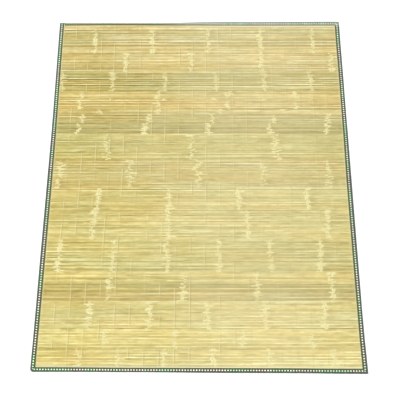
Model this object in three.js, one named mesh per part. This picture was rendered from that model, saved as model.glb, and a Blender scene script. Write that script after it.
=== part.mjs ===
// Bamboo floor mat with a folded tape binding, lying flat.
// Millimetres: the slats run along X, the mat's length is along Y and +Z is up.
// The origin is the middle of the mat, on the surface that it lies on.
import * as THREE from "three";

// Driving dimensions
const MAT_WIDTH = 1500;
const MAT_LENGTH = 2000;
const SLAT_COUNT = 296;
const SLAT_THICKNESS = 2.0;
const SLAT_GAP = 0.6;
const SHOULDER_DROP = 0.5;
const WEB_THICKNESS = 0.7;
const PANEL_INSET = 8;
const TAPE_FLAT_WIDTH = 50;
const TAPE_THICKNESS = 0.6;
const AIR_GAP = 0.3;
const INNER_CORNER_RADIUS = 2;
const FOLD_STEPS = 4;
const CORNER_STEPS = 4;

// Long edges by place along Y: how far each wanders outwards from its straight line, and the
// width of the tape that shows in front there.
const LONG_EDGES = [
  { at: -1000, left: -0.8, leftFront: 22.0, right: 6.0, rightFront: 23.2 },
  { at: -920, left: -1.0, leftFront: 22.2, right: 4.6, rightFront: 23.2 },
  { at: -840, left: -1.4, leftFront: 22.4, right: 2.7, rightFront: 23.1 },
  { at: -700, left: -1.3, leftFront: 23.0, right: 1.3, rightFront: 22.3 },
  { at: -420, left: -0.6, leftFront: 24.2, right: 1.0, rightFront: 23.8 },
  { at: 0, left: -0.7, leftFront: 24.4, right: 0.9, rightFront: 25.0 },
  { at: 280, left: -0.8, leftFront: 23.3, right: 0.8, rightFront: 22.9 },
  { at: 420, left: 0.1, leftFront: 23.0, right: 0.2, rightFront: 22.4 },
  { at: 560, left: 1.8, leftFront: 22.6, right: 0.5, rightFront: 22.5 },
  { at: 700, left: 3.2, leftFront: 22.5, right: 0.5, rightFront: 22.8 },
  { at: 840, left: 4.8, leftFront: 22.8, right: 0.1, rightFront: 23.3 },
  { at: 1000, left: 6.0, leftFront: 23.0, right: 0.8, rightFront: 23.5 },
];

// The two ends by place along X, in the same way.
const ENDS = [
  { at: -750, top: -1.4, topFront: 18.0, bottom: -3.4, bottomFront: 21.8 },
  { at: -610, top: -0.6, topFront: 17.8, bottom: -3.6, bottomFront: 21.2 },
  { at: -490, top: -0.8, topFront: 16.7, bottom: -3.5, bottomFront: 20.7 },
  { at: -370, top: -1.9, topFront: 16.0, bottom: -2.7, bottomFront: 20.4 },
  { at: -240, top: -2.6, topFront: 16.5, bottom: -2.6, bottomFront: 19.9 },
  { at: -120, top: -2.0, topFront: 18.0, bottom: -1.6, bottomFront: 20.7 },
  { at: 0, top: 2.0, topFront: 22.2, bottom: -0.2, bottomFront: 21.8 },
  { at: 120, top: 3.2, topFront: 24.9, bottom: 0.6, bottomFront: 22.3 },
  { at: 370, top: 2.8, topFront: 25.1, bottom: 1.1, bottomFront: 21.7 },
  { at: 490, top: 3.8, topFront: 26.1, bottom: 1.8, bottomFront: 21.6 },
  { at: 610, top: 4.5, topFront: 26.5, bottom: 3.4, bottomFront: 22.3 },
  { at: 750, top: 4.2, topFront: 26.8, bottom: 4.5, bottomFront: 23.2 },
];

// The tape's run in the order that it is sewn on, clockwise from the top left corner. Each
// side has the corner that it ends in, as signs of X and Y, and the radius in which the fold
// turns there.
const SIDES = [
  { name: "top", along: [1, 0], corner: [1, 1], radius: 2.5 },
  { name: "right", along: [0, -1], corner: [1, -1], radius: 2.5 },
  { name: "bottom", along: [-1, 0], corner: [-1, -1], radius: 15 },
  { name: "left", along: [0, 1], corner: [-1, 1], radius: 0 },
];

const panelUnderside = TAPE_THICKNESS + AIR_GAP;
const panelTop = panelUnderside + SLAT_THICKNESS;
const matHeight = panelTop + AIR_GAP + TAPE_THICKNESS;
const halfWidth = MAT_WIDTH / 2;
const halfLength = MAT_LENGTH / 2;

// Value of a table's column at a place, on straight lines between the rows.
function tableValue(table, column, place) {
  const next = table.findIndex((row) => row.at >= place);
  if (next === 0) return table[0][column];
  if (next < 0) return table[table.length - 1][column];
  const low = table[next - 1];
  const high = table[next];
  return THREE.MathUtils.mapLinear(place, low.at, high.at, low[column], high[column]);
}

// The outline: X of a long edge at a place along Y, and Y of an end at a place along X.
const outline = {
  left: (y) => -halfWidth - tableValue(LONG_EDGES, "left", y),
  right: (y) => halfWidth + tableValue(LONG_EDGES, "right", y),
  top: (x) => halfLength + tableValue(ENDS, "top", x),
  bottom: (x) => -halfLength - tableValue(ENDS, "bottom", x),
};

// Section of the slat panel in Y and Z: one crowned rib for each slat, with a narrow groove
// down to a thin web between neighbours, and an underside with a point at each row of the long edges.
function panelProfile() {
  const end = halfLength - PANEL_INSET;
  const pitch = (2 * end) / SLAT_COUNT;
  const web = panelUnderside + WEB_THICKNESS;
  const shoulder = panelTop - SHOULDER_DROP;
  const points = [];
  for (let slat = SLAT_COUNT; slat > 0; slat -= 1) {
    const far = slat * pitch - end - SLAT_GAP / 2;
    const near = (slat - 1) * pitch - end + SLAT_GAP / 2;
    const farFoot = slat === SLAT_COUNT ? panelUnderside : web;
    const nearFoot = slat === 1 ? panelUnderside : web;
    points.push([far, farFoot], [far, shoulder]);
    points.push([(far + near) / 2, panelTop]);
    points.push([near, shoulder], [near, nearFoot]);
  }
  const underside = LONG_EDGES.filter((row) => Math.abs(row.at) < end - pitch);
  underside.forEach((row) => points.push([row.at, panelUnderside]));
  return points.map(([y, z]) => new THREE.Vector2(y, z));
}

// The section is carried along X from the left edge to the right, so that the slats' ends
// follow the mat's outline inside the fold of the tape.
function panelGeometry() {
  const shape = new THREE.Shape(panelProfile());
  const geometry = new THREE.ExtrudeGeometry(shape, { depth: 1, bevelEnabled: false });
  const position = geometry.attributes.position;
  for (let i = 0; i < position.count; i += 1) {
    const y = position.getX(i);
    const z = position.getY(i);
    const left = outline.left(y) + PANEL_INSET;
    const right = outline.right(y) - PANEL_INSET;
    position.setXYZ(i, THREE.MathUtils.lerp(left, right, position.getZ(i)), y, z);
  }
  geometry.computeVertexNormals();
  return geometry;
}

// The table that a side of the tape follows.
function sideTable(side) {
  return side.along[0] === 0 ? LONG_EDGES : ENDS;
}

// Width of the tape in front on a side, at a place along that side.
function frontAt(side, place) {
  return tableValue(sideTable(side), `${side.name}Front`, place);
}

// The same at the end of a side, or at the start of the one that follows it round the corner.
function frontAtCorner(side, [signX, signY]) {
  return frontAt(side, side.along[0] === 0 ? signY * halfLength : signX * halfWidth);
}

// Places where a side of the tape has a station: each row of its table between its two corners.
function stationPlaces(side, start, end) {
  const table = sideTable(side);
  const low = Math.min(start, end);
  const high = Math.max(start, end);
  const inner = table.map((row) => row.at).filter((at) => at > low + 5 && at < high - 5);
  return start < end ? [start, ...inner, end] : [start, ...inner.reverse(), end];
}

// A station of a straight run holds the points of the fold and of the tape's two edges.
function runStation(side, place) {
  const along = new THREE.Vector2(...side.along);
  const inward = new THREE.Vector2(along.y, -along.x);
  const edge = outline[side.name](place);
  const fold = along.x === 0 ? new THREE.Vector2(edge, place) : new THREE.Vector2(place, edge);
  const frontWidth = frontAt(side, place);
  const backWidth = TAPE_FLAT_WIDTH - frontWidth;
  const front = fold.clone().addScaledVector(inward, frontWidth);
  const back = fold.clone().addScaledVector(inward, backWidth);
  return { fold, front, back, frontWidth, backWidth };
}

// Corner of the outline, from its signs of X and Y.
function outlineCorner([signX, signY]) {
  const x = signX > 0 ? outline.right(signY * halfLength) : outline.left(signY * halfLength);
  const y = signY > 0 ? outline.top(signX * halfWidth) : outline.bottom(signX * halfWidth);
  return new THREE.Vector2(x, y);
}

// Stations round a corner: the fold and both edges take a quarter turn, each at its own radius.
function cornerStations(side, nextSide) {
  const before = new THREE.Vector2(...side.along);
  const after = new THREE.Vector2(...nextSide.along);
  const corner = outlineCorner(side.corner);
  const frontBefore = frontAtCorner(side, side.corner);
  const frontAfter = frontAtCorner(nextSide, side.corner);
  const mitre = (widthBefore, widthAfter) =>
    corner.clone().addScaledVector(after, widthBefore).addScaledVector(before, -widthAfter);
  const frontMitre = mitre(frontBefore, frontAfter);
  const backMitre = mitre(TAPE_FLAT_WIDTH - frontBefore, TAPE_FLAT_WIDTH - frontAfter);
  const turn = (centre, radius, angle) =>
    centre
      .clone()
      .addScaledVector(before, radius * (Math.sin(angle) - 1))
      .addScaledVector(after, radius * (1 - Math.cos(angle)));
  return Array.from({ length: CORNER_STEPS + 1 }, (_, step) => {
    const angle = (step / CORNER_STEPS) * (Math.PI / 2);
    const frontWidth = THREE.MathUtils.lerp(frontBefore, frontAfter, step / CORNER_STEPS);
    return {
      fold: turn(corner, side.radius, angle),
      front: turn(frontMitre, INNER_CORNER_RADIUS, angle),
      back: turn(backMitre, INNER_CORNER_RADIUS, angle),
      frontWidth,
      backWidth: TAPE_FLAT_WIDTH - frontWidth,
    };
  });
}

// Folded section of the tape. Each point has the flange that it belongs to, its depth from the
// fold, or null at the edge of that flange, and its height.
function tapeSection() {
  const radius = matHeight / 2;
  const arc = (wall, from, to) =>
    Array.from({ length: FOLD_STEPS + 1 }, (_, step) => {
      const angle = THREE.MathUtils.lerp(from, to, step / FOLD_STEPS);
      const depth = radius - (radius - wall) * Math.cos(angle);
      const height = radius + (radius - wall) * Math.sin(angle);
      return { flange: height > radius ? "front" : "back", depth, height };
    });
  return [
    { flange: "back", depth: null, height: 0 },
    ...arc(0, -Math.PI / 2, Math.PI / 2),
    { flange: "front", depth: null, height: matHeight },
    { flange: "front", depth: null, height: matHeight - TAPE_THICKNESS },
    ...arc(TAPE_THICKNESS, Math.PI / 2, -Math.PI / 2),
    { flange: "back", depth: null, height: TAPE_THICKNESS },
  ];
}

// Place of a section's point at a station.
function tapePoint(station, { flange, depth, height }) {
  const width = flange === "front" ? station.frontWidth : station.backWidth;
  const edge = flange === "front" ? station.front : station.back;
  const place = station.fold.clone().lerp(edge, depth === null ? 1 : depth / width);
  return [place.x, place.y, height];
}

// All the stations of the tape, from the inner edge of its own last side, which butts it there.
function tapeStations() {
  const lastSide = SIDES[SIDES.length - 1];
  const lastFront = frontAtCorner(lastSide, lastSide.corner);
  let start = outline.left(halfLength) + Math.max(lastFront, TAPE_FLAT_WIDTH - lastFront) + AIR_GAP;
  const stations = [];
  SIDES.forEach((side, index) => {
    const axis = side.along[0] === 0 ? "y" : "x";
    const direction = side.along[0] + side.along[1];
    const end = outlineCorner(side.corner)[axis] - direction * side.radius;
    const places = stationPlaces(side, start, end);
    const isFirst = index === 0;
    const isLast = index === SIDES.length - 1;
    const inner = places.slice(isFirst ? 0 : 1, isLast ? undefined : -1);
    inner.forEach((place) => {
      stations.push(runStation(side, place));
    });
    if (isLast) return;
    const nextSide = SIDES[index + 1];
    stations.push(...cornerStations(side, nextSide));
    const nextAxis = nextSide.along[0] === 0 ? "y" : "x";
    const nextDirection = nextSide.along[0] + nextSide.along[1];
    start = outlineCorner(side.corner)[nextAxis] + nextDirection * side.radius;
  });
  return stations;
}

// The folded section is carried along the stations, and closed at both ends of the tape.
function tapeGeometry() {
  const section = tapeSection();
  const stations = tapeStations();
  const count = section.length;
  const positions = stations.flatMap((station) => section.flatMap((point) => tapePoint(station, point)));
  const triangles = [];
  for (let row = 0; row + 1 < stations.length; row += 1) {
    for (let column = 0; column < count; column += 1) {
      const a = row * count + column;
      const b = row * count + ((column + 1) % count);
      triangles.push(a, b, b + count, a, b + count, a + count);
    }
  }
  const flat = section.map(({ depth, height }) => new THREE.Vector2(depth ?? TAPE_FLAT_WIDTH / 2, height));
  const last = (stations.length - 1) * count;
  THREE.ShapeUtils.triangulateShape(flat, []).forEach(([a, b, c]) => {
    triangles.push(a, b, c);
    triangles.push(last + a, last + c, last + b);
  });
  const geometry = new THREE.BufferGeometry();
  geometry.setAttribute("position", new THREE.Float32BufferAttribute(positions, 3));
  geometry.setIndex(triangles);
  geometry.computeVertexNormals();
  return geometry;
}

// A named piece with its own material.
function piece(name, geometry, color, roughness) {
  const material = new THREE.MeshStandardMaterial({ color, roughness, metalness: 0 });
  const mesh = new THREE.Mesh(geometry, material);
  mesh.name = name;
  return mesh;
}

const mat = new THREE.Group();
mat.add(piece("slat_panel", panelGeometry(), 0xdbcd8d, 0.5));
mat.add(piece("binding_tape", tapeGeometry(), 0x8a9d84, 0.85));

export default mat;
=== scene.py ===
"""A bamboo floor mat with a folded woven tape binding, lying flat.

Metres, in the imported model's frame: the slats run along X, the mat's length is along Y and +Z
is up. The sizes and the outline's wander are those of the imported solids.
"""
import logging
import math
from dataclasses import dataclass
from enum import Enum

import bpy
import numpy as np
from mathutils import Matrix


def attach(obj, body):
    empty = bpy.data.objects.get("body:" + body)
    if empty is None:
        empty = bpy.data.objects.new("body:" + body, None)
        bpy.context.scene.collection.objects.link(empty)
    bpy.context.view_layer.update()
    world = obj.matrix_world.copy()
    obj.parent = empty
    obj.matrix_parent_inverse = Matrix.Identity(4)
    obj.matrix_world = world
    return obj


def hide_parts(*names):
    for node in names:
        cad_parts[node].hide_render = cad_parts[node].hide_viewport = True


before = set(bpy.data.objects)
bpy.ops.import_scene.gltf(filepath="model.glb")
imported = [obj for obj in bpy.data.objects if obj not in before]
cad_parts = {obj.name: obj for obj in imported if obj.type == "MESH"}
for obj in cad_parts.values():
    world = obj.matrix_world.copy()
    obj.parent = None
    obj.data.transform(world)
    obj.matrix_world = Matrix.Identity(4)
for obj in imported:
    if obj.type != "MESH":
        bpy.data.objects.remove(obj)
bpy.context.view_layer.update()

LOG = logging.getLogger("bamboo_mat")
MM = 0.001
SEED = 20

Socket = bpy.types.NodeSocket
Piece = bpy.types.Object
Pair = tuple[float, float]
Triple = tuple[float, float, float]


def linear(colour: Triple) -> np.ndarray:
    """Linear light of a screen colour: the usual sRGB curve, with a straight foot.

    Args:
        colour: red, green and blue as seen on a screen, from 0 to 255.

    Returns:
        The three parts in linear light, from 0 to 1.
    """
    part = np.asarray(colour, float) / 255.0
    return np.where(part <= 0.04045, part / 12.92, ((part + 0.055) / 1.055) ** 2.4)


def rgba(colour: Triple) -> tuple[float, float, float, float]:
    """The screen colour in linear light, with a full alpha."""
    return (*linear(colour).tolist(), 1.0)


class Tone(Enum):
    """Skin colours of dried bamboo, by culm, as seen on a screen."""

    AMBER = (217, 190, 116)
    GOLD = (228, 206, 142)
    OCHRE = (214, 193, 124)
    KHAKI = (207, 190, 125)
    OLIVE = (199, 184, 114)
    SAGE = (211, 197, 127)
    STRAW = (217, 198, 128)
    PALE = (224, 208, 138)
    LEMON = (230, 212, 137)
    UMBER = (203, 185, 108)
    CREAM = (224, 199, 138)


@dataclass(frozen=True)
class Culm:
    """One culm's run of slats, split and strung side by side.

    start is where the run begins, in millimetres from the mat's top edge, and joints are the
    places of the culm's joints in millimetres from the mat's middle. level scales its tone,
    contrast how much its slats differ from each other, paleness its joints' pale patches and
    scatter how far the joints lie from a straight line.
    """

    start: float
    tone: Tone
    joints: tuple[float, ...]
    level: float = 1.0
    contrast: float = 1.0
    paleness: float = 1.0
    scatter: float = 1.0


CULMS = (
    Culm(0, Tone.CREAM, (-498, -58, 420), level=1.08, contrast=1.3, paleness=0.8),
    Culm(40, Tone.KHAKI, (-560, -250, 46, 325, 600), level=1.03, contrast=1.7),
    Culm(164, Tone.GOLD, (-560, -250, 46, 325, 600), level=1.035, contrast=0.92),
    Culm(211, Tone.GOLD, (-391, -44, 328, 695), level=0.99, contrast=1.1, paleness=1.2),
    Culm(270, Tone.OCHRE, (-391, -44, 328, 695), level=1.01, contrast=1.5),
    Culm(333, Tone.OLIVE, (-715, -454, -179, 86, 337, 580), level=1.055, contrast=1.75, paleness=0.8),
    Culm(456, Tone.OCHRE, (-617, -214, 148, 492), level=1.11, contrast=1.25),
    Culm(505, Tone.OCHRE, (-458, -178, 83, 336, 575), level=1.05),
    Culm(518, Tone.AMBER, (-617, -214, 148, 492), level=0.99),
    Culm(572, Tone.STRAW, (-515, -211, 107, 426), level=1.06, contrast=1.4),
    Culm(595, Tone.KHAKI, (-598, -257, 65, 379, 658), level=0.99, contrast=1.25),
    Culm(655, Tone.OLIVE, (-618, -277, 45, 359, 648), level=0.945, contrast=1.15, paleness=1.15),
    Culm(728, Tone.SAGE, (-467, -37, 388), level=1.04, contrast=1.12, paleness=1.1, scatter=2.2),
    Culm(878, Tone.STRAW, (-690, -341, -6, 316, 640), level=0.96, paleness=0.9, scatter=1.5),
    Culm(1038, Tone.PALE, (-492, -144, 194, 528), level=0.98, contrast=0.95, paleness=1.2),
    Culm(1166, Tone.PALE, (-510, -146, 235, 618), contrast=1.07, paleness=1.2),
    Culm(1330, Tone.SAGE, (-661, -404, -150, 98, 340, 575), level=1.06, contrast=1.1),
    Culm(1501, Tone.PALE, (-420, -72, 272, 619), level=1.045, contrast=0.82, paleness=1.1),
    Culm(1556, Tone.UMBER, (-420, -72, 272, 619), level=0.985, contrast=1.15),
    Culm(1608, Tone.KHAKI, (-420, -72, 272, 619), level=1.02, contrast=0.8),
    Culm(1650, Tone.PALE, (-503, -226, 41, 310, 579), level=1.01, paleness=1.2),
    Culm(1790, Tone.LEMON, (-427, -105, 208, 515), level=1.03, contrast=0.8, paleness=1.2),
    Culm(1883, Tone.LEMON, (-542, -361, -154, 71, 320, 612), level=0.99, contrast=0.9),
)

# Places of the slats that stand out, in millimetres from the top edge.
PALE_SLATS = (
    65, 100, 135, 170, 200, 262, 295, 375, 400, 490, 511, 550, 580, 598, 740, 860, 953,
    1060, 1112, 1125, 1280, 1332, 1390, 1430, 1520, 1547, 1610, 1662, 1678, 1728, 1840,
    1912, 1927, 1955,
)
DARK_SLATS = (
    52, 120, 142, 156, 210, 228, 313, 347, 382, 422, 453, 521, 570, 608, 690, 712, 876,
    911, 1023, 1050, 1150, 1173, 1195, 1233, 1345, 1378, 1445, 1475, 1488, 1565, 1597,
    1640, 1750, 1785, 1866, 1880, 1968,
)

# Where skin is brighter by a factor, red, green and blue rise by these powers of it.
PALING = (0.84, 1.0, 1.95)


def set_off(levels: np.ndarray) -> np.ndarray:
    """Brightness factors that set each slat off from its two neighbours.

    Args:
        levels: the slats' own levels, slats along the first axis.

    Returns:
        The exponential of each level less a third of the sum of the levels beside it.
    """
    before, after = np.roll(levels, 1, axis=0), np.roll(levels, -1, axis=0)
    return np.exp(levels - (before + after) / 3)


@dataclass(frozen=True)
class Outline:
    """The mat's slightly uneven outline and the tape's width in front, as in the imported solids.

    Each long edge and each end wanders outwards from a straight line, and the tape in front has
    its width there, by millimetres that are read off the tables, on straight lines between the
    rows.
    """

    half_width: float = 0.750
    half_length: float = 1.000
    side_at: tuple[float, ...] = (-1000, -920, -840, -700, -420, 0, 280, 420, 560, 700, 840, 1000)
    left_out: tuple[float, ...] = (-0.8, -1.0, -1.4, -1.3, -0.6, -0.7, -0.8, 0.1, 1.8, 3.2, 4.8, 6.0)
    left_front: tuple[float, ...] = (22.0, 22.2, 22.4, 23.0, 24.2, 24.4, 23.3, 23.0, 22.6, 22.5, 22.8, 23.0)
    right_out: tuple[float, ...] = (6.0, 4.6, 2.7, 1.3, 1.0, 0.9, 0.8, 0.2, 0.5, 0.5, 0.1, 0.8)
    right_front: tuple[float, ...] = (23.2, 23.2, 23.1, 22.3, 23.8, 25.0, 22.9, 22.4, 22.5, 22.8, 23.3, 23.5)
    end_at: tuple[float, ...] = (-750, -610, -490, -370, -240, -120, 0, 120, 370, 490, 610, 750)
    top_out: tuple[float, ...] = (-1.4, -0.6, -0.8, -1.9, -2.6, -2.0, 2.0, 3.2, 2.8, 3.8, 4.5, 4.2)
    top_front: tuple[float, ...] = (18.0, 17.8, 16.7, 16.0, 16.5, 18.0, 22.2, 24.9, 25.1, 26.1, 26.5, 26.8)
    bottom_out: tuple[float, ...] = (-3.4, -3.6, -3.5, -2.7, -2.6, -1.6, -0.2, 0.6, 1.1, 1.8, 3.4, 4.5)
    bottom_front: tuple[float, ...] = (21.8, 21.2, 20.7, 20.4, 19.9, 20.7, 21.8, 22.3, 21.7, 21.6, 22.3, 23.2)

    def left(self, y: np.ndarray) -> np.ndarray:
        """X of the left edge at a place along Y."""
        return -self.half_width - MM * np.interp(np.asarray(y) / MM, self.side_at, self.left_out)

    def right(self, y: np.ndarray) -> np.ndarray:
        """X of the right edge at a place along Y."""
        return self.half_width + MM * np.interp(np.asarray(y) / MM, self.side_at, self.right_out)

    def top(self, x: np.ndarray) -> np.ndarray:
        """Y of the top end at a place along X."""
        return self.half_length + MM * np.interp(np.asarray(x) / MM, self.end_at, self.top_out)

    def bottom(self, x: np.ndarray) -> np.ndarray:
        """Y of the bottom end at a place along X."""
        return -self.half_length - MM * np.interp(np.asarray(x) / MM, self.end_at, self.bottom_out)

    def edge(self, side: str, place: np.ndarray) -> np.ndarray:
        """The outline's other coordinate on the named side, at a place along that side."""
        return {"left": self.left, "right": self.right, "top": self.top, "bottom": self.bottom}[side](place)

    def front(self, side: str, place: np.ndarray) -> np.ndarray:
        """Width of the tape in front on the named side, at a place along that side."""
        at = self.side_at if side in ("left", "right") else self.end_at
        return MM * np.interp(np.asarray(place) / MM, at, getattr(self, f"{side}_front"))

    def inside_tape(self, x: np.ndarray, y: np.ndarray) -> np.ndarray:
        """Distances of places from the nearer inner edge of the tape at the sides and the ends.

        Args:
            x: the places' X.
            y: their Y.

        Returns:
            Rows of the distance along X, the distance along Y and zero.
        """
        left = self.left(y) + self.front("left", y)
        right = self.right(y) - self.front("right", y)
        top = self.top(x) - self.front("top", x)
        bottom = self.bottom(x) + self.front("bottom", x)
        beside, behind = np.minimum(x - left, right - x), np.minimum(top - y, y - bottom)
        return np.stack([beside, behind, np.zeros_like(x)], axis=-1)

    def corner(self, sign_x: int, sign_y: int) -> np.ndarray:
        """The corner that the two signs name, as X and Y."""
        x = (self.right if sign_x > 0 else self.left)(sign_y * self.half_length)
        y = (self.top if sign_y > 0 else self.bottom)(sign_x * self.half_width)
        return np.array([float(x), float(y)])


@dataclass(frozen=True)
class Strings:
    """Where the thread rows run through the slats: evenly spaced along X, with a slow sway.

    Each wave gives a height in metres, a rate in radians a metre of Y, and a phase.
    """

    start: float = -660 * MM
    pitch: float = 69 * MM
    rows: int = 20
    waves: tuple[Triple, ...] = ((0.0035, 3.3, 0.7), (0.0012, 9.0, 2.0))

    def sway(self, y: np.ndarray) -> np.ndarray:
        """How far a row lies beside its straight line at a place along Y."""
        return sum(height * np.sin(rate * y + phase) for height, rate, phase in self.waves)


STRINGS = Strings()


class Wires:
    """Short calls that add shader nodes to one material and join them."""

    def __init__(self, name: str) -> None:
        """Starts a material that holds one shader and its output."""
        self.material = bpy.data.materials.new(name)
        self.material.use_nodes = True
        self.nodes = self.material.node_tree.nodes
        self.links = self.material.node_tree.links
        self.nodes.clear()
        self.shader = self.nodes.new("ShaderNodeBsdfPrincipled")
        output = self.nodes.new("ShaderNodeOutputMaterial")
        self.links.new(self.shader.outputs["BSDF"], output.inputs["Surface"])

    def feed(self, socket: Socket, value: "Socket | float | tuple") -> None:
        """Joins a socket to the value, or sets the value on it."""
        if isinstance(value, Socket):
            self.links.new(value, socket)
        else:
            socket.default_value = value

    def surface(self, **inputs: "Socket | float | tuple") -> None:
        """Feeds the shader's own sockets, named in words joined by underscores."""
        for name, value in inputs.items():
            self.feed(self.shader.inputs[name.replace("_", " ")], value)

    def object_place(self) -> Socket:
        """The place on the piece, in the mat's own frame."""
        return self.nodes.new("ShaderNodeTexCoord").outputs["Object"]

    def map_place(self, name: str) -> Socket:
        """The place on the piece's own map."""
        node = self.nodes.new("ShaderNodeUVMap")
        node.uv_map = name
        return node.outputs["UV"]

    def attribute(self, name: str) -> bpy.types.Node:
        """A node that reads the named attribute of the mesh."""
        node = self.nodes.new("ShaderNodeAttribute")
        node.attribute_name = name
        return node

    def math(self, operation: str, *values: "Socket | float", clamp: bool = False) -> Socket:
        """One step of arithmetic on one to three values."""
        node = self.nodes.new("ShaderNodeMath")
        node.operation = operation
        node.use_clamp = clamp
        for socket, value in zip(node.inputs, values):
            self.feed(socket, value)
        return node.outputs[0]

    def parts(self, vector: Socket) -> tuple[Socket, Socket, Socket]:
        """The three parts of a vector."""
        node = self.nodes.new("ShaderNodeSeparateXYZ")
        self.feed(node.inputs[0], vector)
        return node.outputs[0], node.outputs[1], node.outputs[2]

    def vector(self, x: "Socket | float", y: "Socket | float", z: "Socket | float") -> Socket:
        """A vector of three parts."""
        node = self.nodes.new("ShaderNodeCombineXYZ")
        for socket, value in zip(node.inputs, (x, y, z)):
            self.feed(socket, value)
        return node.outputs[0]

    def product(self, *factors: "Socket | float") -> Socket:
        """All the factors multiplied together."""
        whole = factors[0]
        for factor in factors[1:]:
            whole = self.math("MULTIPLY", whole, factor)
        return whole

    def scaled(self, vector: Socket, factors: Triple) -> Socket:
        """The vector with each part multiplied by its factor."""
        node = self.nodes.new("ShaderNodeVectorMath")
        node.operation = "MULTIPLY"
        self.feed(node.inputs[0], vector)
        node.inputs[1].default_value = factors
        return node.outputs[0]

    def moved(self, vector: Socket, by: Socket) -> Socket:
        """The sum of two vectors."""
        node = self.nodes.new("ShaderNodeVectorMath")
        node.operation = "ADD"
        self.feed(node.inputs[0], vector)
        self.feed(node.inputs[1], by)
        return node.outputs[0]

    def noise(self, vector: Socket, scale: float, detail: float = 2.0, roughness: float = 0.5) -> Socket:
        """Smooth noise from 0 to 1, about 0.5, at the vector's place."""
        node = self.nodes.new("ShaderNodeTexNoise")
        node.inputs["Scale"].default_value = scale
        node.inputs["Detail"].default_value = detail
        node.inputs["Roughness"].default_value = roughness
        self.feed(node.inputs["Vector"], vector)
        return node.outputs["Fac"]

    def slat_noise(
        self, x: Socket, lot: Socket, rates: Triple, detail: float, roughness: float = 0.5
    ) -> Socket:
        """Noise along a slat, other for each: rates are of X, of the slat's number, and a layer."""
        place = self.vector(self.product(x, rates[0]), self.product(lot, rates[1]), rates[2])
        return self.noise(place, 1.0, detail, roughness)

    def span(self, value: Socket, low: float, high: float, to: Pair = (0.0, 1.0)) -> Socket:
        """The value's place from low to high, on a smooth step between the two ends of to."""
        node = self.nodes.new("ShaderNodeMapRange")
        node.interpolation_type = "SMOOTHSTEP"
        for name, number in (("From Min", low), ("From Max", high), ("To Min", to[0]), ("To Max", to[1])):
            node.inputs[name].default_value = number
        self.feed(node.inputs["Value"], value)
        return node.outputs["Result"]

    def mix(
        self, share: "Socket | float", first: "Socket | tuple", second: "Socket | tuple", how: str = "MIX"
    ) -> Socket:
        """The first colour blended with the second by the share."""
        node = self.nodes.new("ShaderNodeMix")
        node.data_type = "RGBA"
        node.blend_type = how
        self.feed(node.inputs[0], share)
        self.feed(node.inputs[6], first)
        self.feed(node.inputs[7], second)
        return node.outputs[2]

    def gain(self, colour: "Socket | tuple", factor: "Socket | float") -> Socket:
        """The colour multiplied by a number."""
        node = self.nodes.new("ShaderNodeVectorMath")
        node.operation = "SCALE"
        self.feed(node.inputs[0], colour if isinstance(colour, Socket) else colour[:3])
        self.feed(node.inputs["Scale"], factor)
        return node.outputs[0]

    def bump(
        self, height: Socket, depth: float, strength: float = 1.0, normal: Socket | None = None
    ) -> Socket:
        """A normal bent by a height from 0 to 1, that stands depth metres high."""
        node = self.nodes.new("ShaderNodeBump")
        node.inputs["Distance"].default_value = depth
        node.inputs["Strength"].default_value = strength
        self.feed(node.inputs["Height"], height)
        if normal is not None:
            self.feed(node.inputs["Normal"], normal)
        return node.outputs["Normal"]


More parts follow.
